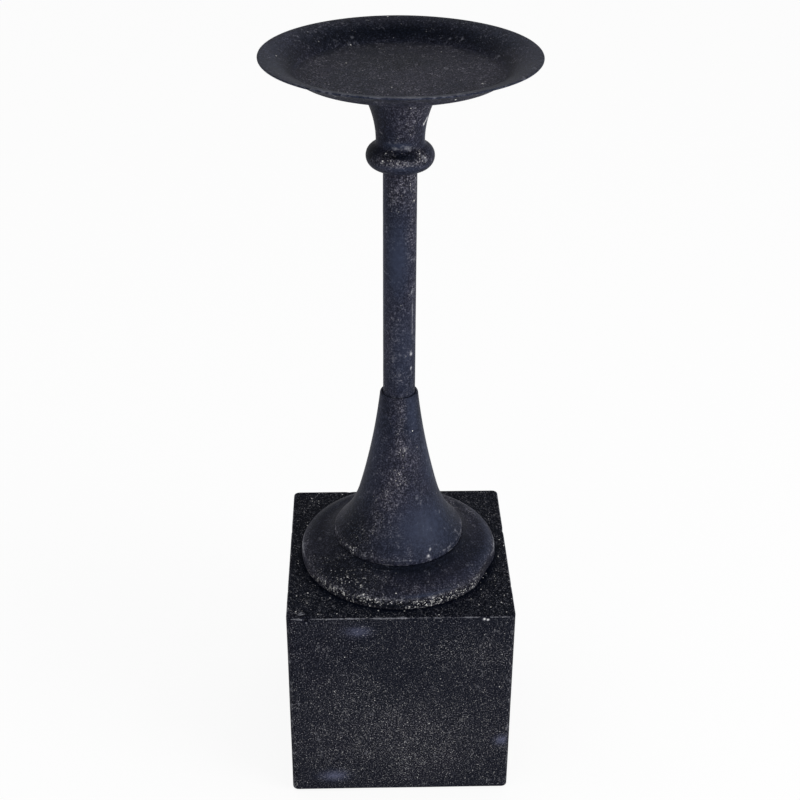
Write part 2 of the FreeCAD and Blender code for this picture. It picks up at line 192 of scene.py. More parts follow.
class DiscSettings(PropertyGroup):
    """Sizes of the saucer under the bell."""

    edge_radius: length("Edge radius", "From the axis to the foot of the band", 50.6 * MM)
    band_height: length("Band height", "Height of the upright band", 6.2 * MM)
    band_swell: length("Band swell", "How far the band stands out in its middle", 0.3 * MM)
    shoulder: length("Shoulder", "How far the corner between band and crest is rounded", 1.6 * MM)
    crest_radius: length("Crest radius", "From the axis to where the crest turns into the hollow", 42.5 * MM)
    crest_height: length("Crest height", "Height where the crest turns into the hollow", 10.5 * MM)
    crest_slope: angle("Crest slope", "Slope where the crest turns into the hollow", math.radians(5))
    seat: length("Seat", "Height of the ledge that carries the bell", 14 * MM)
    ledge_radius: length("Ledge radius", "From the axis to the outer edge of the ledge", 33.7 * MM)
    step_radius: length("Step radius", "From the axis to the step inside the bell", 31.9 * MM)
    step: length("Step", "Height of the step inside the bell", 1.2 * MM)
    hole: length("Hole", "Radius of the hole for the rod", 4.3 * MM)
    sheet: length("Sheet", "Thickness of the spun sheet", 1.2 * MM)
    dent: length("Dent", "Depth of the knock that has flattened the rim", 2.1 * MM)
    dent_turn: angle("Dent turn", "Where the knock is, from the front to the right", math.radians(65))
    steps: faces("disc", 256)


class BlockSettings(PropertyGroup):
    """Sizes of the wooden block."""

    corner: length("Corner", "Radius of the upright edges", 3 * MM)
    arris: length("Arris", "Radius of the level edges", 0.6 * MM)
    bore: length("Bore", "Radius of the hole for the rod", 4.6 * MM)
    recess_radius: length("Recess radius", "Radius of the recess for the nut", 15 * MM)
    recess_depth: length("Recess depth", "Depth of the recess for the nut", 17.5 * MM)
    hollow: length("Hollow", "How far the planed faces dip", 0.18 * MM)
    pitch: length("Pitch", "Distance between the rows of faces", 2.2 * MM)


class PadSettings(PropertyGroup):
    """Sizes of the felt pads."""

    radius: length("Radius", "Radius of a pad", 10 * MM)
    ease: length("Ease", "How far the cut edges are rounded", 0.7 * MM)
    nap: length("Nap", "How far the felt's surface is uneven", 0.12 * MM)
    steps: faces("pad", 64)


class PaintSettings(PropertyGroup):
    """Colours of the rubbed paint, and of the steel and felt under the block."""

    navy: colour("Navy", "The paint where it is whole", "#151927")
    violet: colour("Violet", "The paint where it is thin", "#2A2936")
    # This tone is the paint where it lies thick, and also painted shade
    soot: colour("Soot", "The paint where it lies thick", "#060A14")
    # This tone is the polished paint on the iron, and also painted sheen and highlight
    haze: colour("Haze", "The paint on the iron where handling has polished it", "#303648")
    bloom: colour("Bloom", "The paint on the block where handling has polished it", "#4B4E62")
    primer: colour("Primer", "The primer where the paint is rubbed through", "#8F8D8D")
    cream: colour("Cream", "The brightest of the rubbed specks", "#D4D3D1")
    bare: colour("Bare", "The worn edges", "#8B8C94")
    zinc: colour("Zinc", "The plated fastenings", "#A9ABAD")
    felt: colour("Felt", "The pads", "#26262A")


class StageSettings(PropertyGroup):
    """The camera, the floor and the light."""

    camera: FloatVectorProperty(
        name="Camera",
        description="Where the camera stands",
        default=(-17.27 * MM, -623.09 * MM, 563.59 * MM),
        subtype="TRANSLATION",
        unit="LENGTH",
    )
    yaw: angle("Yaw", "Turn of the camera to the left", -0.0285)
    pitch: angle("Pitch", "Dip of the camera", 0.5191)
    roll: angle("Roll", "Roll of the camera", -0.0053)
    lens: FloatProperty(
        name="Lens", description="Focal length in millimetres, on a 36 mm sensor", default=65.1, unit="CAMERA"
    )
    paper: colour("Paper", "The floor", "#F7F7F7")
    key: power("Key", "Power of the right-hand softbox", 17.0)
    fill: power("Fill", "Power of the left-hand softbox", 3.0)


class Outline:
    """The line of a turned piece beside its axis, drawn from point to point in metres.

    Its points are complex numbers: the distance from the axis, and the height.
    """

    def __init__(self, radius, height):
        self.line = [complex(radius, height)]
        self.corners = []

    def to(self, radius, height, turn=0.0, ease=0.0):
        """Go on to a point, straight or on an arc that turns left by that angle, and ease its corner."""
        start = self.line[-1]
        chord = complex(radius, height) - start
        shares = np.linspace(0, 1, ARC_POINTS)[1:] if turn else np.ones(1)
        reach = np.sin(shares * turn / 2) / np.sin(turn / 2) if turn else shares
        self.line.extend(start + chord * reach * np.exp(1j * (shares - 1) * turn / 2))
        self.corners.append((len(self.line) - 1, ease))

    def sampled(self, spacing, trim=(0.0, 0.0)):
        """Points along the line, about that far apart, with the corners eased and the ends trimmed."""
        line = np.array(self.line)
        run = np.concatenate(([0.0], np.cumsum(np.abs(np.diff(line)))))

        def at(distance):
            return np.interp(distance, run, line.real) + 1j * np.interp(distance, run, line.imag)

        first, last = trim[0], run[-1] - trim[1]
        marks = [np.linspace(first, last, math.ceil((last - first) / spacing) + 1)]
        for index, ease in self.corners[:-1]:
            marks.append(run[index] + ease * np.linspace(-1, 1, EASE_POINTS if ease else 1))
        marks = np.unique(np.round(np.clip(np.concatenate(marks), first, last), 7))
        points = at(marks)
        for index, ease in self.corners[:-1]:
            corner = run[index]
            near = np.abs(marks - corner) < ease
            share = (marks[near] - corner + ease) / (2 * ease) if ease else marks[near]
            before, after = (1 - share) ** 2 * at(corner - ease), share**2 * at(corner + ease)
            points[near] = before + 2 * share * (1 - share) * at(corner) + after
        return points


def swell_turn(swell, across, along):
    """The angle that an arc turns by, from how far it stands out from its chord."""
    return 4 * math.atan(2 * swell / math.hypot(across, along))


def sheet_outline(skin, spacing, thickness, from_axis=False):
    """The closed outline of a sheet that lies to the left of its skin, with its free ends rounded over.

    A skin that starts from the axis has a free end only where it stops.
    """
    half = thickness / 2
    skin = skin.sampled(spacing, trim=(0.0 if from_axis else half, half))
    way = np.gradient(skin)
    way /= np.abs(way)
    inner = skin + 1j * way * thickness

    # Inside a tight bend the inner line would cross itself, so what comes too near the skin is left out
    clear = np.abs(inner[:, None] - skin[None, :]).min(axis=1) > 0.97 * thickness
    sweep = np.exp(1j * np.linspace(-np.pi / 2, np.pi / 2, END_POINTS)[1:-1]) * half
    outline = [skin, skin[-1] + way[-1] * (1j * half + sweep), inner[clear][::-1]]
    if not from_axis:
        outline += [skin[0] + way[0] * (1j * half - sweep), skin[:1]]
    return np.concatenate(outline)


class Result:
    """What a node gives out: its first output, or the one that is asked for. Sums on it read as sums."""

    def __init__(self, tree, node, output=None):
        self.tree = tree
        self.node = node
        self.output = output

    def __getitem__(self, output):
        return Result(self.tree, self.node, output)

    def socket(self):
        """The output that other nodes are linked to."""
        if self.output is None:
            return next(socket for socket in self.node.outputs if socket.enabled)
        return self.node.outputs[self.output]

    def calc(self, operation, *others):
        """A sum on this number and others."""
        return add(self.tree, "ShaderNodeMath", dict(enumerate((self, *others))), operation=operation)

    def __add__(self, other):
        return self.calc("ADD", other)

    def __sub__(self, other):
        return self.calc("SUBTRACT", other)

    def __mul__(self, other):
        return self.calc("MULTIPLY", other)

    def __truediv__(self, other):
        return self.calc("DIVIDE", other)

    def __rtruediv__(self, other):
        return add(self.tree, "ShaderNodeMath", {0: other, 1: self}, operation="DIVIDE")

    def whole(self, operation, other):
        """A sum on this whole number and another."""
        return add(self.tree, "FunctionNodeIntegerMath", {0: self, 1: other}, operation=operation)

    def vector(self, operation, *others):
        """A sum on this vector and others."""
        return add(self.tree, "ShaderNodeVectorMath", dict(enumerate((self, *others))), operation=operation)

    def times(self, vector):
        """A vector or a colour times this number."""
        return add(self.tree, "ShaderNodeVectorMath", {0: vector, "Scale": self}, operation="SCALE")

    def parts(self):
        """The parts of this vector along X, Y and Z."""
        return add(self.tree, "ShaderNodeSeparateXYZ", {0: self})

    def clamped(self):
        """This number, held between 0 and 1."""
        return add(self.tree, "ShaderNodeClamp", {0: self})

    def ramp(self, low, high, start, end):
        """A number that runs from start to end while this one runs from low to high."""
        return add(self.tree, "ShaderNodeMapRange", {0: self, 1: low, 2: high, 3: start, 4: end})

    def blend(self, first, second):
        """A mix of two colours, with this number for the share of the second."""
        return add(self.tree, "ShaderNodeMix", {0: self, 6: first, 7: second}, data_type="RGBA")[2]

    def lumps(self, size, detail, **sockets):
        """A noise with lumps of that size, at this place."""
        sockets |= {"Vector": self, "Scale": 1 / size, "Detail": detail}
        return add(self.tree, "ShaderNodeTexNoise", sockets)

    def cells(self, size):
        """How far this place is off the middle of its cell of that size, and the lots the cell draws."""
        cell = add(self.tree, "ShaderNodeTexVoronoi", {"Vector": self, "Scale": 1 / size})
        return cell["Distance"], add(self.tree, "ShaderNodeSeparateColor", {0: cell["Color"]})

    def raised(self, strength, distance):
        """A relief with this number for its height."""
        return add(self.tree, "ShaderNodeBump", {"Strength": strength, "Distance": distance, "Height": self})


def add(tree, kind, sockets=None, **settings):
    """Add a node of that kind, with its settings, and set its input sockets or link them to other nodes."""
    node = tree.nodes.new(kind)
    for name, setting in settings.items():
        setattr(node, name, setting)
    for key, source in (sockets or {}).items():
        if isinstance(source, Result):
            tree.links.new(source.socket(), node.inputs[key])
        else:
            node.inputs[key].default_value = source
    return Result(tree, node)


def new_tree(name, numbers, others):
    """An empty Geometry Nodes tree with an outline and those inputs, and one geometry for its output."""
    tree = bpy.data.node_groups.new(name, "GeometryNodeTree")
    kinds = {"Outline": "Geometry", "Steps": "Int", **dict.fromkeys(numbers, "Float"), **others}
    for socket, kind in kinds.items():
        tree.interface.new_socket(socket, in_out="INPUT", socket_type="NodeSocket" + kind)
    tree.interface.new_socket("Piece", in_out="OUTPUT", socket_type="NodeSocketGeometry")
    return tree, add(tree, "NodeGroupInput")


def end_tree(tree, geometry, material):
    """Make a tree's instances real, give them their material and hand them out."""
    real = add(tree, "GeometryNodeRealizeInstances", {"Geometry": geometry})
    painted = add(tree, "GeometryNodeSetMaterial", {"Geometry": real, "Material": material})
    add(tree, "NodeGroupOutput", {"Piece": painted})
    return tree


def turning_tree():
    """The lathe: sweeps an outline round the upright axis, then lets the wall run slightly untrue."""
    known = bpy.data.node_groups.get("turned_piece")
    if known:
        return known
    numbers = ("Reach", "Untrue", "Wobble", "Lump", "Seed", "Dent Reach")
    tree, given = new_tree("turned_piece", numbers, {"Dent Side": "Vector", "Material": "Material"})
    position = add(tree, "GeometryNodeInputPosition")

    # One row of points for each point of the outline, one column for each step round the axis
    rows = add(tree, "GeometryNodeAttributeDomainSize", {0: given["Outline"]}, component="MESH")
    columns = given["Steps"].whole("ADD", 1)
    grid = add(tree, "GeometryNodeMeshGrid", {"Vertices X": columns, "Vertices Y": rows})["Mesh"]
    index = add(tree, "GeometryNodeInputIndex")
    point = {"Geometry": given["Outline"], "Value": position, "Index": index.whole("MODULO", rows)}
    place = add(tree, "GeometryNodeSampleIndex", point, data_type="FLOAT_VECTOR")
    turn = index.whole("DIVIDE_FLOOR", rows) / given["Steps"] * math.tau
    swept = add(tree, "ShaderNodeVectorRotate", {"Vector": place, "Angle": turn}, rotation_type="Z_AXIS")
    turned = add(tree, "GeometryNodeSetPosition", {"Geometry": grid, "Position": swept})
    closed = add(tree, "GeometryNodeMergeByDistance", {"Geometry": turned, "Distance": SEAM})

    # Slow lumps make the wall run out of round, inwards only, and let the rim dip
    parts = position.parts()
    flat = add(tree, "ShaderNodeCombineXYZ", {"X": parts["X"], "Y": parts["Y"]})
    lumps = {"Vector": position, "W": given["Seed"], "Scale": 1.0 / given["Lump"], "Detail": 1.0}
    lots = add(tree, "ShaderNodeTexNoise", lumps, noise_dimensions="4D")["Color"].parts()
    inward = (lots["X"] * given["Untrue"] / given["Reach"]).times(flat)
    outermost = (flat.vector("LENGTH")["Value"] / given["Reach"]).calc("POWER", 2.0)
    down = add(tree, "ShaderNodeCombineXYZ", {"Z": lots["Y"] * given["Wobble"] * outermost})

    # A knock on one side has pushed everything beyond it back to a flat
    side = given["Dent Side"]
    beyond = position.vector("DOT_PRODUCT", side)["Value"] - given["Dent Reach"]
    push = beyond.calc("MAXIMUM", 0.0).times(side)
    moved = inward.vector("ADD", down).vector("ADD", push)
    offset = moved.vector("MULTIPLY", (-1.0, -1.0, -1.0))
    uneven = add(tree, "GeometryNodeSetPosition", {"Geometry": closed, "Offset": offset})
    smooth = add(tree, "GeometryNodeSetShadeSmooth", {"Geometry": uneven})
    return end_tree(tree, smooth, given["Material"])


def pads_tree():
    """Turns one felt pad and sets it at the four corners of the block."""
    known = bpy.data.node_groups.get("felt_pads")
    if known:
        return known
    tree, given = new_tree("felt_pads", ("Reach", "Spread", "Nap", "Fibre"), {"Material": "Material"})

    # A pad runs true and has no dent, so its dent lies far out
    sockets = {name: given[name] for name in ("Outline", "Steps", "Reach", "Material")}
    sockets |= {"Lump": 10 * MM, "Dent Reach": 1.0}
    pad = add(tree, "GeometryNodeGroup", sockets, node_tree=turning_tree())
    square = {"Size X": given["Spread"], "Size Y": given["Spread"], "Vertices X": 2, "Vertices Y": 2}
    corners = add(tree, "GeometryNodeMeshGrid", square)["Mesh"]
    set_out = add(tree, "GeometryNodeInstanceOnPoints", {"Points": corners, "Instance": pad})
    real = add(tree, "GeometryNodeRealizeInstances", {"Geometry": set_out})

    # The nap: fibres sink the surface here and there, never out of the pad's own space
    fibres = add(tree, "ShaderNodeTexNoise", {"Scale": 1.0 / given["Fibre"], "Detail": 2.0})
    offset = (fibres * given["Nap"] * -1.0).times(add(tree, "GeometryNodeInputNormal"))
    napped = add(tree, "GeometryNodeSetPosition", {"Geometry": real, "Offset": offset})
    return end_tree(tree, napped, given["Material"])


def new_object(name, data):
    """A new object with that data, in place of an earlier one of the same name."""
    old = bpy.data.objects.get(name)
    if old:
        bpy.data.objects.remove(old)
    piece = bpy.data.objects.new(name, data)
    bpy.context.scene.collection.objects.link(piece)
    return piece


def outline_object(name, outline, base):
    """An object whose points are an outline, standing at that height."""
    points = [(p.real, 0.0, p.imag + base) for p in outline]
    mesh = bpy.data.meshes.new(name)
    mesh.from_pydata(points, [(i, i + 1) for i in range(len(points) - 1)], [])
    return new_object(name, mesh)


def grow(piece, tree, values):
    """Run a tree on a piece with those inputs, and keep the result as the piece's plain, sound mesh."""
    modifier = piece.modifiers.new(tree.name, "NODES")
    modifier.node_group = tree
    for socket in tree.interface.items_tree:
        if socket.in_out == "INPUT" and socket.name in values:
            modifier[socket.identifier] = values[socket.name]
    shown = piece.evaluated_get(bpy.context.evaluated_depsgraph_get())
    mesh = bpy.data.meshes.new_from_object(shown)
    piece.modifiers.clear()
    piece.data = mesh
    make_sound(piece)


def make_sound(piece):
    """Turn a mesh's faces outwards, and stop if it isn't a closed shell."""
    work = bmesh.new()
    work.from_mesh(piece.data)
    bmesh.ops.remove_doubles(work, verts=work.verts, dist=WELD)
    loose = [v for v in work.verts if not v.link_faces]
    bmesh.ops.delete(work, geom=loose, context="VERTS")
    bmesh.ops.recalc_face_normals(work, faces=work.faces)
    open_edges = sum(not edge.is_manifold for edge in work.edges)
    work.to_mesh(piece.data)
    work.free()
    if open_edges:
        raise RuntimeError(f"{piece.name} has {open_edges} edges that aren't closed")


def point_places(mesh):
    """The places of a mesh's points, in millimetres."""
    places = np.empty(len(mesh.vertices) * 3, np.float32)
    mesh.vertices.foreach_get("co", places)
    return places.reshape(-1, 3).astype(float) / MM


def store(mesh, name, values):
    """Write one number for each point of a mesh."""
    attribute = mesh.attributes.new(name, "FLOAT", "POINT")
    attribute.data.foreach_set("value", np.asarray(values, np.float32))


def fade(away, reach=1.0):
    """1 at no distance, a third at the reach, and hardly anything at twice the reach."""
    return np.exp(-((away / reach) ** 2))


def patched(places, patches):
    """How far each point lies in one of some patches."""
    turn = np.degrees(np.arctan2(places[:, 0], -places[:, 1]))
    amount = np.zeros(len(places))
    for patch in patches:
        aside = ((turn - patch.turn + 180) % 360 - 180) / patch.wide
        above = (places[:, 2] - patch.height) / patch.tall
        amount = np.maximum(amount, patch.amount * fade(np.hypot(aside, above)))
    return amount


def ringed(places, rings):
    """How near each point lies to one of some rings."""
    radius = np.hypot(places[:, 0], places[:, 1])
    amount = np.zeros(len(places))
    for ring in rings:
        away = np.hypot(radius - ring.radius, places[:, 2] - ring.height)
        amount = np.maximum(amount, ring.amount * fade(away, ring.width))
    return amount


def spotted(places, spots):
    """How near each point lies to one of some spots."""
    amount = np.zeros(len(places))
    for spot in spots:
        away = np.linalg.norm(places - (spot.x, spot.y, spot.z), axis=1)
        amount = np.maximum(amount, spot.amount * fade(away, spot.reach))
    return amount


def age(mesh, wear):
    """Write how rubbed, polished, thick and bare the paint is at each point, painted sheen and shade
    included.
    """
    places = point_places(mesh)
    rubbed = np.maximum(patched(places, wear.rubs), ringed(places, wear.rings))
    store(mesh, "rubbed", np.maximum(rubbed, wear.ground))
    store(mesh, "polish_and_sheen", patched(places, wear.hazes))
    store(mesh, "soot_and_shade", patched(places, wear.soots))
    store(mesh, "edge", np.maximum(ringed(places, wear.edges), patched(places, wear.chips)))


def stand_for(piece, node):
    """Put a finished piece in the place of its packed solid."""
    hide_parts(node)
    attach(piece, "root")


def turn_piece(name, node, wear, outline, base, reach, steps, untrue, seed, wobble=0.0, dent=(0.0, 0.0)):
    """Turn an iron piece from its outline on the lathe, age its paint and put it in its solid's place.

    The reach is the piece's radius. A dent is its turn round the axis and its depth.
    """
    piece = outline_object(name, outline, base)
    side, depth = dent
    values = {
        "Steps": steps,
        "Reach": reach,
        "Untrue": untrue,
        "Wobble": wobble,
        "Lump": 1.1 * reach,
        "Seed": seed,
        "Dent Side": (math.sin(side), -math.cos(side), 0.0),
        "Dent Reach": reach - depth,
        "Material": iron_paint(bpy.context.scene.candlestick_paint),
    }
    grow(piece, turning_tree(), values)
    age(piece.data, wear)
    stand_for(piece, node)


def new_material(name):
    """An empty material, its tree, and the places on the piece that wears it."""
    material = bpy.data.materials.new(name)
    material.use_nodes = True
    tree = material.node_tree
    tree.nodes.clear()
    return material, tree, add(tree, "ShaderNodeTexCoord")["Object"]


def coat(tree, sockets):
    """End a material's tree with its shader."""
    shader = add(tree, "ShaderNodeBsdfPrincipled", sockets)
    add(tree, "ShaderNodeOutputMaterial", {"Surface": shader})


def rubbed_paint(name, paint, haze, pitch, patchy, bite, gloss, ground, stray, clear, flaked, strewn, sleek):
    """Sand-textured paint over grey primer, rubbed back by hand.

    The grit in the paint stands up, so rubbing takes its tops off first and leaves a fine salt of primer.
    Thick paint stays near black, handled places take a blue-grey polish, and edges wear bare. The dark thick
    paint also lays painted shade, the polish painted sheen and highlight, and some bare edges are painted
    highlights. The pitch is the distance between specks, patchy how far the wear gathers in patches, the
    bite how sharply the salt stands out, the gloss the specular level, the ground how rubbed the paint is
    all over, stray the share of specks that lie anywhere, and clear how bright the brightest of them are.
    Flaked is the share of chips where the paint is rubbed, strewn the share where it lies thick, and sleek
    how far the polish smooths the grit.
    """
    known = bpy.data.materials.get(name)
    if known:
        return known
    material, tree, place = new_material(name)
    rubbed, polish_and_sheen, soot_and_shade, edge = (
        add(tree, "ShaderNodeAttribute", attribute_name=wear)["Fac"]
        for wear in ("rubbed", "polish_and_sheen", "soot_and_shade", "edge")
    )

    # Tone drifts over about 30 mm, wear gathers in clumps of about 6 mm and mottles of about 2 mm, and the
    # grit is as fine as the specks
    cloud, clump, mottle, grit = (
        place.lumps(size, detail, Roughness=0.6)
        for size, detail in ((30 * MM, 3.0), (6 * MM, 4.0), (1.9 * MM, 3.0), (1.15 * pitch, 2.0))
    )
    drift = cloud.ramp(0.38, 0.62, 0.0, 1.0)
    clumped, mottled = (lump.ramp(0.36, 0.64, 1 - patchy, 1 + patchy) for lump in (clump, mottle))

    # How much of the paint is through, from where the hand has been and where it has polished instead
    kept = (polish_and_sheen * -sleek + 1.0).clamped()
    through = (rubbed + ground) * clumped * mottled * kept
    capped = through.calc("MINIMUM", 0.8)
    often = through * through

    # The paint's own tone: navy where it is whole, violet where it is thin, near black where it lies thick
    # and blue-grey where it is polished. The dark thick paint also lays painted shade, and the polish painted
    # sheen
    thin = (drift * 0.45 + through * 0.5).clamped()
    dark = soot_and_shade.blend(thin.blend(paint.navy, paint.violet), paint.soot)
    tone_with_polish_and_sheen = (polish_and_sheen * (mottled * 0.4 + 0.6)).clamped().blend(dark, haze)

    # Its unevenness: lighter on the tops of the grit, darker between them, and more so where it is rubbed
    coarse = capped * (0.34 * bite) + 3.5
    sway = (grit - 0.5) * coarse + mottle * (2.4 * patchy) - 1.2 * patchy
    grainy = (sway * kept).calc("EXPONENT").times(tone_with_polish_and_sheen)

    # Salt: the tops of the grit, rubbed through to the primer, many faint ones and few bright ones, but not
    # where the paint lies thick, nor where it lays painted shade
    tops = (grit * bite - (0.5 * bite + 2.8)).calc("EXPONENT")
    opened = soot_and_shade * soot_and_shade * -0.85 + 1.0
    salted = (tops * capped * opened).clamped().blend(grainy, paint.primer)

    # Specks: some cells of a pattern, drawn out of round by a noise as fine as they are. Where the paint is
    # laid open they are wider and cleaner
    astray = place.lumps(pitch, 1.0)["Color"].vector("MULTIPLY_ADD", (0.5 * pitch,) * 3, place)
    off_middle, lots = astray.cells(pitch)
    odds = (often * 0.28 + stray).calc("MINIMUM", 0.42)
    chosen = (odds - lots["Red"]).ramp(0.0, 0.02, 0.0, 1.0)
    wide = lots["Green"].ramp(0.0, 1.0, 0.25, 0.55) * through.ramp(1.1, 1.9, 1.0, 1.5)
    inside = (wide - off_middle).ramp(0.0, 0.14, 0.0, 1.0)
    bright = (lots["Blue"] * lots["Blue"]).ramp(0.0, 1.0, 0.1, clear)
    speck = (chosen * inside * bright * through.ramp(1.1, 1.9, 1.0, 3.6)).clamped()
    specked = speck.blend(salted, paint.cream)

    # Chips: few and about three times as large
    off_chip, draws = astray.cells(3.4 * pitch)
    rare = often * flaked + soot_and_shade.ramp(0.8, 0.92, 0.005, 0.005 + strewn)
    struck = (draws["Green"].ramp(0.0, 1.0, 0.09, 0.24) - off_chip).ramp(0.0, 0.05, 0.0, 0.85)
    chip = draws["Red"].calc("LESS_THAN", rare) * struck
    chipped = chip.blend(specked, paint.cream)

    # Worn edges, broken up where the clumps and mottles are. Some edge rings and chips on the pieces are
    # painted highlights
    worn = ((clump + mottle) * 1.1 + edge).ramp(1.3, 2.0, 0.0, 0.9)
    bared = edge.ramp(0.8, 1.1, 0.0, 1.0).blend(paint.bare, paint.cream)
    tone = worn.blend(chipped, bared)

    # Rubbed paint is duller than polished paint
    rough = through * 0.15 + 0.52 + polish_and_sheen * -0.07 + speck * 0.2

    # Grit stands about 0.1 mm, specks stand out a little more, and chips are sunk
    bump = (kept * grit + chip * -0.6 + speck * 0.35).raised(0.5, 0.12 * MM)
    coat(tree, {"Base Color": tone, "Roughness": rough, "Normal": bump, "Specular IOR Level": gloss})
    return material


def iron_paint(paint):
    """Spun iron under sand-textured paint: satin where whole, mottled where rubbed, specks 0.6 mm apart."""
    return rubbed_paint(
        "Iron_rubbed_sand_paint", paint, paint.haze, pitch=0.64 * MM, patchy=0.55, bite=12.0, gloss=0.045,
        ground=0.08, stray=0.004, clear=0.4, flaked=0.075, strewn=0.0, sleek=1.2,
    )


def block_paint(paint):
    """Planed wood under the same paint: flatter than on the iron, and evenly rubbed to a fine salt."""
    return rubbed_paint(
        "Wood_rubbed_sand_paint", paint, paint.bloom, pitch=0.55 * MM, patchy=0.25, bite=21.0, gloss=0.02,
        ground=0.0, stray=0.004, clear=0.55, flaked=0.015, strewn=0.2, sleek=0.6,
    )


def zinc_steel(paint):
    """Zinc-plated steel: a grey metal, brushed fine by the cutting tool and clouded by the plating."""
    material, tree, place = new_material("Steel_zinc_plated")

    # Tool marks 0.2 mm apart run round the axis, so they change with height and hardly across
    squeezed = add(tree, "ShaderNodeMapping", {"Vector": place, "Scale": (0.05, 0.05, 1.0)})
    bump = squeezed.lumps(0.2 * MM, 2.0).raised(0.25, 0.03 * MM)
    spangle = place.lumps(2.5 * MM, 3.0)
    tone = spangle.ramp(0.3, 0.7, 0.75, 1.1).times(paint.zinc[:3])
    rough = spangle.ramp(0.3, 0.7, 0.32, 0.5)
    coat(tree, {"Base Color": tone, "Metallic": 1.0, "Roughness": rough, "Normal": bump})
    return material


def wool_felt(paint):
    """Pressed wool felt: no gloss, a soft edge of light from the nap, and matted fibres 0.3 mm wide."""
    material, tree, place = new_material("Wool_felt_pressed")
    fibres = place.lumps(0.3 * MM, 3.0, Distortion=1.5)
    tufts = place.lumps(2 * MM, 2.0)
    sockets = {
        "Base Color": (fibres + tufts).ramp(0.7, 1.3, 0.5, 1.6).times(paint.felt[:3]),
        "Roughness": 0.95,
        "Normal": fibres.raised(0.7, 0.15 * MM),
        "Specular IOR Level": 0.1,
        "Sheen Weight": 0.15,
        "Sheen Roughness": 0.6,
    }
    coat(tree, sockets)
    return material


class CANDLESTICK_OT_drip_pan(Operator):
    """Spin the candle pan with its flared rim"""

    bl_idname = "candlestick.drip_pan"
    bl_label = "Drip pan"

    wear = Wear(
        ground=0.1,
        rubs=[Patch(-150, 381, 40, 1.8, 0.3), Patch(130, 381, 50, 1.8, 0.3)],
        rings=[Ring(38.0, 373.9, 8.0, 0.45), Ring(15.0, 373.9, 26.0, 0.42)],
        # The polish on the rim is painted sheen and highlight
        hazes=[Patch(-90, 381, 50, 2, 0.25), Patch(90, 381, 50, 2, 0.25), Patch(0, 381.6, 60, 0.6, 0.45)],
        # The dark thick paint on the back inner wall and low on the wall at the left and right is painted
        # shade
        soots=[
            Patch(180, 377.5, 75, 4.5, 1.0), Patch(-95, 376.3, 60, 1.8, 0.6),
            Patch(95, 376.3, 60, 1.8, 0.6), Patch(0, 378, 70, 2.6, 0.35),
        ],
        edges=[Ring(62.6, 381.6, 0.6, 0.12)],
        chips=[Patch(4, 381.9, 32, 0.35, 0.52), Patch(-4, 381.9, 64, 0.35, 0.32)],
    )

    def execute(self, context):
        size = context.scene.candlestick_pan
        bend, slope = size.bend, size.wall_angle
        wall = complex(size.floor_radius + bend * math.sin(slope), bend * (1 - math.cos(slope)))
        rim = complex(size.rim_radius, size.depth - size.sheet)
        flare = 2 * (math.atan2((rim - wall).imag, (rim - wall).real) - slope)
        skin = Outline(0, 0)
        skin.to(size.floor_radius, 0)
        skin.to(wall.real, wall.imag, turn=slope)
        skin.to(rim.real, rim.imag, turn=flare)
        outline = sheet_outline(skin, 0.9 * MM, size.sheet, from_axis=True)
        turn_piece(
            "spun_drip_pan", "drip_pan", self.wear, outline, PAN_LOW.z, size.rim_radius, size.steps,
            untrue=0.3 * MM, seed=3, wobble=size.wobble,
        )
        return {"FINISHED"}


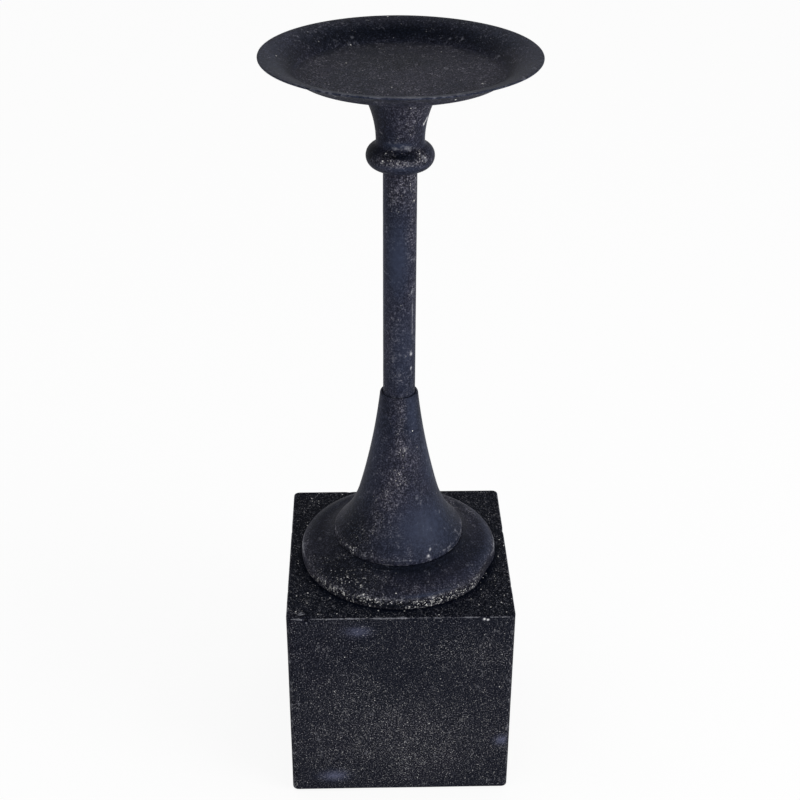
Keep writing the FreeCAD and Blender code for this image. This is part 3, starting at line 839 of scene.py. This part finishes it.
class CANDLESTICK_OT_neck_collar(Operator):
    """Turn the collar: a bead with the stem's socket, a neck and a cup"""

    bl_idname = "candlestick.neck_collar"
    bl_label = "Neck collar"

    wear = Wear(
        ground=0.04,
        # The rubs on the bead lie where it shows light bands, so they are partly painted highlight
        rubs=[
            Patch(24, 354, 34, 15, 0.55), Patch(-5, 335.8, 42, 2.0, 1.9), Patch(-24, 338.0, 18, 2.0, 1.9),
            Patch(40, 337.8, 12, 2.8, 2.4), Patch(10, 342.6, 26, 1.6, 0.9), Patch(150, 348, 50, 14, 0.7),
            Patch(-130, 336, 40, 4, 0.9),
        ],
        # The polish above and below the bead's dark band is painted highlight and reflection, and on the
        # right painted sheen
        hazes=[Patch(-4, 343.2, 34, 1.3, 0.9), Patch(85, 346, 25, 8, 0.5), Patch(0, 334.0, 40, 1.2, 0.6)],
        # The dark thick paint in a band round the bead is a painted dark reflection, and on the left side
        # painted shade
        soots=[
            Patch(-4, 339.1, 48, 1.4, 1.0), Patch(-70, 352, 34, 20, 0.7),
            Patch(-70, 338, 30, 4.5, 0.95), Patch(180, 338.9, 70, 1.7, 0.8),
        ],
        # The broad chips above and below the bead's dark band are painted highlights; the small ones at the
        # right are a scratch and worn specks
        chips=[
            Patch(57, 352.0, 3.2, 1.0, 1.4), Patch(61, 353.1, 3.2, 0.9, 1.4), Patch(66, 354.1, 3.4, 0.9, 1.4),
            Patch(72, 365.5, 3.5, 1.2, 1.0), Patch(-16, 342.0, 14, 1.0, 0.42),
            Patch(14, 342.2, 16, 1.1, 0.44), Patch(-14, 336.0, 20, 1.4, 0.36),
            Patch(16, 336.0, 15, 1.5, 0.44), Patch(41, 338.0, 4, 1.2, 0.75),
            Patch(46, 336.6, 4, 1.2, 0.6), Patch(160, 335.0, 60, 1.6, 0.35),
        ],
    )

    def execute(self, context):
        size = context.scene.candlestick_collar
        bead, fillet, neck, wall = size.bead_radius, size.fillet, size.neck_radius, size.wall
        cup, bore, hole, ease = size.cup_radius, size.socket_radius, size.rod_hole, 0.4 * MM
        across = neck + fillet - size.bead_centre
        along = math.sqrt((bead + fillet) ** 2 - across**2)
        lean = math.atan2(along, across)
        shoulder = bead / (bead + fillet) * complex(across, along) + complex(size.bead_centre, bead)
        waist = bead + along
        web = waist - size.web
        rise, spread = size.height - waist, cup - neck
        flare = (rise**2 + spread**2) / (2 * spread)
        inner = neck + flare - math.sqrt((flare + wall) ** 2 - rise**2)
        outline = Outline(bore, 0)
        outline.to(size.bead_centre, 0)
        outline.to(shoulder.real, shoulder.imag, turn=math.pi / 2 + lean)
        outline.to(neck, waist, turn=-lean)
        outline.to(cup, size.height, turn=-2 * (math.pi / 2 - math.atan2(rise, spread)), ease=ease)
        outline.to(inner, size.height, ease=ease)
        outline.to(neck - wall, waist, turn=math.asin(rise / (flare + wall)))
        outline.to(hole, waist)
        outline.to(hole, web)
        outline.to(bore, web)
        outline.to(bore, 0)
        turn_piece(
            "cast_neck_collar", "neck_collar", self.wear, outline.sampled(0.7 * MM), COLLAR_LOW.z, cup,
            size.steps, untrue=0.35 * MM, seed=11,
        )
        return {"FINISHED"}


class CANDLESTICK_OT_stem_tube(Operator):
    """Cut the straight tube between bell and collar"""

    bl_idname = "candlestick.stem_tube"
    bl_label = "Stem tube"

    wear = Wear(
        ground=0.2,
        rubs=[
            Patch(12, 322, 60, 13, 1.0), Patch(40, 300, 30, 16, 0.6), Patch(0, 238, 80, 26, 0.42),
            Patch(170, 300, 50, 30, 0.6), Patch(-140, 250, 40, 25, 0.5),
        ],
        # The polish patches are partly painted sheen and highlight on the tube
        hazes=[
            Patch(-12, 287, 45, 20, 0.86), Patch(10, 238, 60, 24, 0.5),
            Patch(-95, 285, 40, 40, 0.6), Patch(130, 262, 40, 18, 0.8),
        ],
        chips=[
            Patch(50, 256, 4, 13, 0.62), Patch(45, 269.5, 4, 1.2, 0.7),
            Patch(44, 236.5, 6, 1.2, 1.35), Patch(45, 228.5, 5, 1.1, 1.15),
        ],
    )

    def execute(self, context):
        size = context.scene.candlestick_stem
        bore, tall, ease = size.radius - size.wall, STEM_HIGH.z - STEM_LOW.z, size.ease
        outline = Outline(bore, tall / 2)
        outline.to(bore, 0, ease=ease)
        outline.to(size.radius, 0, ease=ease)
        outline.to(size.radius, tall, ease=ease)
        outline.to(bore, tall, ease=ease)
        outline.to(bore, tall / 2)
        turn_piece(
            "cut_stem_tube", "stem_tube", self.wear, outline.sampled(1.5 * MM), STEM_LOW.z, size.radius,
            size.steps, untrue=0.12 * MM, seed=23,
        )
        return {"FINISHED"}


class CANDLESTICK_OT_bell_foot(Operator):
    """Spin the bell-shaped foot with its turned-down lip"""

    bl_idname = "candlestick.bell_foot"
    bl_label = "Bell foot"

    wear = Wear(
        ground=0.1,
        rubs=[
            Patch(5, 206, 16, 11, 0.7), Patch(4, 188, 14, 16, 0.76), Patch(-4, 171, 18, 14, 0.86),
            Patch(-14, 160, 24, 10, 0.74), Patch(-20, 148, 28, 8, 0.76), Patch(-50, 141, 24, 8, 0.8),
            Patch(-45, 133, 40, 3, 1.2), Patch(-2, 146, 3, 2.5, 1.1), Patch(10, 137, 3, 4, 0.9),
            Patch(30, 185, 30, 16, 0.35), Patch(160, 175, 20, 22, 0.9), Patch(130, 142, 30, 10, 0.9),
            Patch(-140, 150, 20, 10, 0.7),
        ],
        rings=[Ring(33.3, 131.5, 1.6, 0.35)],
        # The polish on the right of the bell is partly painted sheen
        hazes=[
            Patch(34, 145, 46, 13, 0.8), Patch(38, 204, 22, 16, 0.62), Patch(-70, 184, 34, 26, 0.4),
            Patch(75, 178, 28, 20, 0.52), Patch(-170, 142, 30, 10, 0.9),
        ],
        # The dark thick paint on the left of the bell is partly painted shade
        soots=[
            Patch(-58, 140, 38, 15, 0.95), Patch(-75, 175, 30, 25, 0.4), Patch(62, 143, 26, 12, 0.8),
            Patch(-45, 204, 24, 16, 0.35), Patch(150, 136, 30, 8, 0.7),
        ],
        edges=[Ring(33.0, 133.2, 0.7, 0.27), Ring(33.2, 130.3, 0.6, 0.33)],
        chips=[
            Patch(26, 133.5, 1.1, 0.6, 1.2), Patch(30, 135.6, 0.8, 0.5, 1.0), Patch(10, 133.2, 1.0, 0.5, 0.9),
        ],
    )

    def execute(self, context):
        size = context.scene.candlestick_bell
        foot, waist, mouth = size.foot_radius, size.waist_radius, size.mouth_radius
        middle, top = size.waist_height, size.height - size.curl
        lower = swell_turn(size.lower_swell, foot - waist, middle - size.lip)
        upper = swell_turn(size.upper_swell, waist - mouth, top - middle)
        skin = Outline(foot, 0)
        skin.to(foot, size.lip, ease=0.9 * MM)
        skin.to(waist, middle, turn=-lower, ease=2 * MM)
        skin.to(mouth, top, turn=-upper, ease=0.5 * MM)
        skin.to(mouth - size.curl, size.height)
        outline = sheet_outline(skin, 1.0 * MM, size.sheet)
        turn_piece(
            "spun_bell_foot", "bell_foot", self.wear, outline, BELL_LOW.z, foot, size.steps,
            untrue=0.35 * MM, seed=37,
        )
        return {"FINISHED"}


class CANDLESTICK_OT_base_disc(Operator):
    """Spin the saucer between bell and block, with its knocked rim"""

    bl_idname = "candlestick.base_disc"
    bl_label = "Base disc"

    wear = Wear(
        ground=0.05,
        rubs=[
            Patch(-38, 126, 30, 5.5, 0.86), Patch(-64, 123.5, 16, 2.5, 0.7), Patch(-32, 119.2, 36, 3.8, 2.0),
            Patch(22, 119.2, 42, 3.6, 1.9), Patch(8, 125, 20, 2.5, 0.35), Patch(140, 125, 30, 5, 0.6),
            Patch(170, 119.5, 60, 4, 1.2),
        ],
        # The rub round the crest also stands in for its highlight: partly painted highlight
        rings=[Ring(47.8, 123.9, 1.6, 0.3)],
        # The polish on the crest at the right and on the front shoulder is painted highlight
        hazes=[Patch(85, 124.6, 40, 1.2, 0.35), Patch(16, 123.0, 16, 0.7, 0.6)],
        # The dark thick paint here lays painted shade round the foot of the bell and on the left, and a
        # painted shadow along the foot of the band
        soots=[
            Patch(0, 129.2, 140, 2.8, 0.95), Patch(-42, 126, 44, 6, 0.96), Patch(-95, 126.5, 40, 2.6, 0.6),
            Patch(0, 119, 80, 4, 1.0), Patch(180, 119, 70, 4, 0.8),
        ],
        # The lower ring is worn paint; the ring along the shoulder and the chips at its sides are worn paint
        # and painted highlight
        edges=[Ring(50.6, 116.3, 0.4, 0.28), Ring(50.3, 122.0, 0.6, 0.28)],
        chips=[Patch(95, 122.2, 36, 0.8, 0.42), Patch(-98, 122.2, 40, 0.8, 0.42)],
    )

    def execute(self, context):
        size = context.scene.candlestick_disc
        seat, crest, slope = size.seat, size.crest_height, size.crest_slope
        top = seat + size.step
        band = swell_turn(size.band_swell, 0, size.band_height)
        outer = math.atan2(crest - size.band_height, size.edge_radius - size.crest_radius)
        inner = math.atan2(seat - crest, size.crest_radius - size.ledge_radius)
        skin = Outline(size.edge_radius, 0)
        skin.to(size.edge_radius, size.band_height, turn=band, ease=size.shoulder)
        skin.to(size.crest_radius, crest, turn=2 * (outer - slope))
        skin.to(size.ledge_radius, seat, turn=2 * (slope - inner), ease=0.5 * MM)
        skin.to(size.step_radius, seat)
        skin.to(size.step_radius, top)
        skin.to(size.hole, top)
        outline = sheet_outline(skin, 0.9 * MM, size.sheet)
        turn_piece(
            "spun_base_disc", "base_disc", self.wear, outline, DISC_LOW.z, DISC_HIGH.x, size.steps,
            untrue=0.5 * MM, seed=5, dent=(size.dent_turn, size.dent),
        )
        return {"FINISHED"}


def quarter_turned(x, y, quarters):
    """A place turned round the axis by that many quarters."""
    turn = quarters * math.pi / 2
    return x * math.cos(turn) - y * math.sin(turn), x * math.sin(turn) + y * math.cos(turn)


class CANDLESTICK_OT_base_block(Operator):
    """Plane the wooden block, with its bore, its nut recess and its knocked edges"""

    bl_idname = "candlestick.base_block"
    bl_label = "Base block"

    knocks = [
        Knock(0, -47.2, 1.2, 2.5), Knock(0, 41.2, 1.0, 0.3), Knock(0, 42.9, 0.8, 0.3),
        Knock(0, 8.0, 1.2, 0.25), Knock(1, 18.0, 1.6, 0.6), Knock(1, -31.0, 1.2, 0.4),
        Knock(2, 26.0, 1.2, 0.3), Knock(2, -12.0, 1.0, 0.2), Knock(3, -20.0, 1.5, 0.6),
        Knock(3, 33.0, 1.2, 0.4),
    ]
    chips = [
        Spot(41.3, -57.0, 114.7, 0.8, 1.4), Spot(43.0, -57.0, 114.3, 0.8, 1.4),
        Spot(-49.3, -52.6, 116.0, 1.1, 1.5), Spot(-49.2, -56.8, 115.4, 0.4, 1.2),
        Spot(-46.8, -57.0, 113.6, 0.5, 1.2),
    ]
    # The first darkens the deep knock at the front as painted shade; the second darkens the top edge near the
    # back left corner
    bruise_and_shade_patches = [Patch(-39.7, 115.2, 1.2, 2.0, 1.0), Patch(-130, 115.2, 1.6, 2.0, 0.9)]
    rubs = [
        Patch(2, 36, 40, 27, 1.0), Patch(-20, 58, 22, 18, 0.7), Patch(32, 92, 18, 10, 0.55),
        Patch(90, 50, 35, 34, 0.9), Patch(120, 90, 16, 14, 0.8), Patch(180, 64, 34, 30, 0.95),
        Patch(-90, 44, 36, 26, 0.9), Patch(-110, 88, 16, 16, 0.8),
    ]
    hazes = [
        Patch(-20.4, 107.8, 4.8, 2.6, 0.72), Patch(42.8, 35, 1.5, 2.6, 1.1),
        Patch(-31.2, 11.6, 4.4, 2.8, 1.0), Patch(75, 100, 8, 5, 0.5),
        Patch(-100, 20, 7, 5, 0.5), Patch(160, 30, 8, 6, 0.5),
    ]

    # How far from the top edges the closer rows of faces lie, where the knocks and chips are
    close_rows = np.array([0.0, 0.4, 0.9, 1.5, 2.3, 3.1, 3.9, 4.7, 5.6]) * MM

    def columns(self, size, half):
        """The points round the block's square: the side, the place along it and the corner's angle.

        They lie closer together at the knocks.
        """
        straight, closest = half - size.corner, 0.12 * MM
        plain = np.linspace(-straight, straight, math.ceil(2 * straight / size.pitch) + 1)
        bends = np.linspace(0, math.pi / 2, 7)[1:-1]
        across_knock = np.linspace(-1.6, 1.6, 11) * MM
        ring = []
        for side in range(4):
            knocks = [knock for knock in self.knocks if knock.side == side]
            near = [knock.along * MM + knock.wide * across_knock for knock in knocks]
            places = np.unique(np.round(np.concatenate([plain, *near]), 6))
            places = places[np.concatenate(([True], np.diff(places) > closest))]
            ring.extend((side, along, 0.0) for along in places)
            ring.extend((side, straight, bend) for bend in bends)
        return ring

    def rows(self, size, low, high, half):
        """The rings from the bore's upper end down, out, up the sides and back in.

        Each is an inset from the square, a height, a share of a circle, and that circle's radius.
        """
        arris, bore, wide, recess = size.arris, size.bore, size.recess_radius, low + size.recess_depth
        rings = [(0.0, z, 1.0, bore) for z in np.linspace(high, recess, 12)]
        rings += [(0.0, recess, 1.0, r) for r in np.linspace(bore, wide, 6)[1:]]
        rings += [(0.0, z, 1.0, wide) for z in np.linspace(recess, low, 7)[1:]]
        rings += [(arris, low, s, wide) for s in np.linspace(1, 0, 22)[1:]]
        bends = np.linspace(0, math.pi / 2, 5)[1:-1]
        rings += [(arris * (1 - math.sin(a)), low + arris * (1 - math.cos(a)), 0.0, 0.0) for a in bends]
        upright = np.linspace(low + arris, high - arris, math.ceil((high - low) / size.pitch))
        upright = np.unique(np.concatenate([upright, high - arris - self.close_rows]))
        rings += [(0.0, z, 0.0, 0.0) for z in upright]
        rings += [(arris * (1 - math.cos(a)), high - arris * (1 - math.sin(a)), 0.0, 0.0) for a in bends]
        closer = self.close_rows / (half - arris - bore)
        shares = np.unique(np.concatenate([np.linspace(0, 1, 27), closer]))
        return rings + [(arris, high, s, bore) for s in shares[:-1]]

    def square(self, ring, half, corner, inset):
        """The points of one ring round the block, drawn in from its faces by the inset."""
        reach, straight = corner - inset, half - corner
        return np.array([
            quarter_turned(along + reach * math.sin(bend), -straight - reach * math.cos(bend), side)
            for side, along, bend in ring
        ])

    def execute(self, context):
        size = context.scene.candlestick_block
        low, high, half = BLOCK_LOW.z, BLOCK_HIGH.z, BLOCK_HIGH.x
        ring = self.columns(size, half)
        outer = self.square(ring, half, size.corner, 0.0)
        facing = outer / np.linalg.norm(outer, axis=1, keepdims=True)
        points = []
        for inset, height, share, radius in self.rows(size, low, high, half):
            flat = (1 - share) * self.square(ring, half, size.corner, inset) + share * radius * facing
            points.append(np.column_stack([flat, np.full(len(ring), height)]))
        count, around = len(points), len(ring)
        quads = []
        for i in range(count):
            a, b = i * around, (i + 1) % count * around
            for j in range(around):
                k = (j + 1) % around
                quads.append((a + j, a + k, b + k, b + j))
        points = self.knocked(self.planed(np.concatenate(points), size, half), half, high)
        mesh = bpy.data.meshes.new("planed_base_block")
        mesh.from_pydata(points.tolist(), [], quads)
        mesh.materials.append(block_paint(context.scene.candlestick_paint))
        piece = new_object("planed_base_block", mesh)
        make_sound(piece)

        # Smooth faces, with sharp lines where the recess and bore are cut
        mesh.shade_smooth()
        mesh.set_sharp_from_angle(angle=math.radians(50))
        self.age(mesh, half / MM, high / MM)
        stand_for(piece, "base_block")
        return {"FINISHED"}

    def planed(self, points, size, half):
        """Let the outer faces dip a little, as hand-planed wood does, and the inside not at all."""
        wave, start, full = 38 * MM, 0.6, 0.95
        moved = points.copy()
        for i, point in enumerate(points):
            dip = size.hollow * (0.5 + 0.5 * noise.noise(Vector(point) / wave))
            outward = max(abs(point[0]), abs(point[1])) / half
            if outward > start:
                moved[i, :2] *= 1 - dip / half * min(1.0, (outward - start) / (full - start))
        return moved

    def knocked(self, points, half, high):
        """Sink the knocks into the top edges."""
        moved = points.copy()
        for knock in self.knocks:
            spot = np.array((*quarter_turned(knock.along * MM, -half, knock.side), high))
            sink = np.array((*quarter_turned(0.0, -1.0, knock.side), 1.0)) / math.sqrt(2)
            away = np.linalg.norm(points - spot, axis=1)
            moved -= (knock.deep * MM * fade(away, knock.wide * MM))[:, None] * sink
        return moved

    def age(self, mesh, half, high):
        """Rub the sides through to a fine speckle, and leave the top nearly black, partly as painted shade.

        Sizes are in millimetres. The paint is darkest in the knocks, as painted shade, and round the foot of
        the disc, as a painted shadow.
        """
        places = point_places(mesh)
        x, y, z = places.T
        lesser, greater = np.sort(np.abs(places[:, :2]), axis=1).T
        disc_reach = 50.5
        top = np.clip((z - (high - 1.2)) / 0.8, 0, 1) * np.clip((half - 0.3 - greater) / 0.8, 0, 1)
        to_top = np.hypot(np.maximum(0, high - 0.2 - z), np.maximum(0, half - 0.2 - greater))
        to_post = np.hypot(half - 0.9 - greater, half - 0.9 - lesser)
        to_disc = np.maximum(0, np.hypot(x, y) - disc_reach)
        # Painted shade in the knocks at the top edge
        bruise_and_shade = patched(places, self.bruise_and_shade_patches) * fade(to_top, 1.8)
        # Painted shadow on the top round the foot of the disc, together with the painted shade in the knocks
        shaded = np.maximum(bruise_and_shade, top * fade(to_disc, 2.0))
        side = 0.35 + 0.58 * patched(places, self.rubs)
        # A bare line along the top edges, fainter down the corners; along the top edges it also stands in for
        # the arris's highlight, a painted highlight
        line = 0.49 * fade(to_top, 0.4) + 0.14 * fade(to_post, 1.4)
        # The top keeps fewer specks and more dark thick paint than the sides, partly as painted shade
        store(mesh, "rubbed", (side * (1 - top) + 0.44 * top) * (1 - shaded))
        store(mesh, "polish_and_sheen", patched(places, self.hazes) * (1 - top))
        store(mesh, "soot_and_shade", np.maximum(0.78 + 0.14 * top, shaded))
        store(mesh, "edge", np.maximum(line * (1 - bruise_and_shade), spotted(places, self.chips)))


class CANDLESTICK_OT_felt_pads(Operator):
    """Cut the four felt pads under the block"""

    bl_idname = "candlestick.felt_pads"
    bl_label = "Felt pads"

    def execute(self, context):
        size = context.scene.candlestick_pads
        tall = PADS_HIGH.z - PADS_LOW.z
        outline = Outline(0, 0)
        outline.to(size.radius, 0, ease=size.ease)
        outline.to(size.radius, tall, ease=0.4 * size.ease)
        outline.to(0, tall)
        piece = outline_object("cut_felt_pads", outline.sampled(0.5 * MM), PADS_LOW.z)
        values = {
            "Steps": size.steps,
            "Reach": size.radius,
            "Spread": 2 * (PADS_HIGH.x - size.radius),
            "Nap": size.nap,
            "Fibre": 0.8 * MM,
            "Material": wool_felt(context.scene.candlestick_paint),
        }
        grow(piece, pads_tree(), values)
        stand_for(piece, "felt_pads")
        return {"FINISHED"}


class CANDLESTICK_OT_fastenings(Operator):
    """Plate the rod, nuts, washers, plugs and ring with zinc"""

    bl_idname = "candlestick.fastenings"
    bl_label = "Fastenings"

    nodes = (
        "tie_rod", "pan_nut", "tie_nut", "flat_washer", "spring_washer", "upper_stem_plug", "lower_stem_plug",
        "neck_ring",
    )

    def execute(self, context):
        plating = zinc_steel(context.scene.candlestick_paint)
        for node in self.nodes:
            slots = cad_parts[node].data.materials
            slots.clear()
            slots.append(plating)
        return {"FINISHED"}


class CANDLESTICK_OT_stage(Operator):
    """Set up the camera, the paper floor and the soft studio light"""

    bl_idname = "candlestick.stage"
    bl_label = "Stage"

    def camera(self, stage):
        """Stand the camera where the object is seen a little from above."""
        turn = (
            Matrix.Rotation(stage.yaw, 4, "Z")
            @ Matrix.Rotation(math.pi / 2 - stage.pitch, 4, "X")
            @ Matrix.Rotation(-stage.roll, 4, "Z")
        )
        data = bpy.data.cameras.new("stage_camera")
        data.lens = stage.lens
        data.sensor_width = 36
        data.clip_start, data.clip_end = 0.01, 50
        camera = new_object("stage_camera", data)
        camera.matrix_world = Matrix.Translation(stage.camera) @ turn
        bpy.context.scene.camera = camera

    def softbox(self, name, place, side, watts):
        """A square softbox that faces the object."""
        data = bpy.data.lights.new(name, "AREA")
        data.shape = "SQUARE"
        data.size = side
        data.energy = watts
        lamp = new_object(name, data)
        lamp.location = place
        middle = Vector((0, 0, 0.2))
        lamp.rotation_euler = (middle - Vector(place)).to_track_quat("-Z", "Y").to_euler()

    def seen(self, tree):
        """1 where the stage is seen, straight, mirrored or through glass, and 0 where it gives light."""
        rays = add(tree, "ShaderNodeLightPath")
        shown = rays["Is Camera Ray"].calc("MAXIMUM", rays["Is Glossy Ray"])
        return shown.calc("MAXIMUM", rays["Is Transmission Ray"])

    def floor(self, stage):
        """A wide sheet of matt paper. It shows mostly as plain white, and keeps the shadow."""
        material, tree, place = new_material("Paper_matt_white")
        bump = place.lumps(1.5 * MM, 2.0).raised(0.05, 0.05 * MM)
        matt = add(tree, "ShaderNodeBsdfDiffuse", {"Color": stage.paper, "Normal": bump})
        glow = add(tree, "ShaderNodeEmission", {"Strength": 1.0})
        mixed = add(tree, "ShaderNodeMixShader", {0: self.seen(tree) * 0.9, 1: matt, 2: glow})
        add(tree, "ShaderNodeOutputMaterial", {"Surface": mixed})
        mesh = bpy.data.meshes.new("stage_floor")
        shape = bmesh.new()
        bmesh.ops.create_circle(shape, cap_ends=True, segments=96, radius=6.0)
        shape.to_mesh(mesh)
        shape.free()
        mesh.materials.append(material)
        new_object("stage_floor", mesh)

    def world(self):
        """White all round for what is seen, darker overhead for what is mirrored, and an even light."""
        world = bpy.data.worlds.new("stage_world")
        world.use_nodes = True
        tree = world.node_tree
        tree.nodes.clear()
        height = add(tree, "ShaderNodeTexCoord")["Generated"].parts()["Z"]
        soft = height.ramp(0.0, 1.0, 0.65, 0.75)
        shown = height.ramp(0.3, 0.9, 1.0, 0.2)
        level = add(tree, "ShaderNodeMix", {0: self.seen(tree), 2: soft, 3: shown}, data_type="FLOAT")
        light = add(tree, "ShaderNodeBackground", {"Color": (1, 1, 1, 1), "Strength": level})
        add(tree, "ShaderNodeOutputWorld", {"Surface": light})
        bpy.context.scene.world = world

    def execute(self, context):
        stage = context.scene.candlestick_stage
        context.scene.view_settings.view_transform = "Standard"
        self.camera(stage)
        self.floor(stage)
        self.world()
        self.softbox("key_softbox", (1.35, -0.85, 0.7), 0.9, stage.key)
        self.softbox("fill_softbox", (-1.0, -1.2, 0.6), 0.9, stage.fill)
        return {"FINISHED"}


OPERATORS = (
    CANDLESTICK_OT_stage,
    CANDLESTICK_OT_drip_pan,
    CANDLESTICK_OT_neck_collar,
    CANDLESTICK_OT_stem_tube,
    CANDLESTICK_OT_bell_foot,
    CANDLESTICK_OT_base_disc,
    CANDLESTICK_OT_base_block,
    CANDLESTICK_OT_felt_pads,
    CANDLESTICK_OT_fastenings,
)

SETTINGS = {
    "candlestick_pan": PanSettings,
    "candlestick_collar": CollarSettings,
    "candlestick_stem": StemSettings,
    "candlestick_bell": BellSettings,
    "candlestick_disc": DiscSettings,
    "candlestick_block": BlockSettings,
    "candlestick_pads": PadSettings,
    "candlestick_paint": PaintSettings,
    "candlestick_stage": StageSettings,
}


class CANDLESTICK_PT_pieces(Panel):
    """The pieces of the candlestick and their settings"""

    bl_idname = "CANDLESTICK_PT_pieces"
    bl_label = "Candlestick"
    bl_space_type = "VIEW_3D"
    bl_region_type = "UI"
    bl_category = "Candlestick"

    def draw(self, context):
        for operator in OPERATORS:
            self.layout.operator(operator.bl_idname)
        for name, group in SETTINGS.items():
            box = self.layout.box()
            box.label(text=group.__doc__)
            for setting in group.__annotations__:
                box.prop(getattr(context.scene, name), setting)


def register():
    for group in SETTINGS.values():
        bpy.utils.register_class(group)
    for operator in OPERATORS:
        bpy.utils.register_class(operator)
    bpy.utils.register_class(CANDLESTICK_PT_pieces)
    for name, group in SETTINGS.items():
        setattr(bpy.types.Scene, name, PointerProperty(type=group))


def unregister():
    for name in SETTINGS:
        delattr(bpy.types.Scene, name)
    bpy.utils.unregister_class(CANDLESTICK_PT_pieces)
    for operator in reversed(OPERATORS):
        bpy.utils.unregister_class(operator)
    for group in reversed(SETTINGS.values()):
        bpy.utils.unregister_class(group)


def main():
    """Build every piece in order."""
    register()
    for operator in OPERATORS:
        getattr(bpy.ops.candlestick, operator.bl_idname.split(".")[1])()


if __name__ == "__main__":
    main()
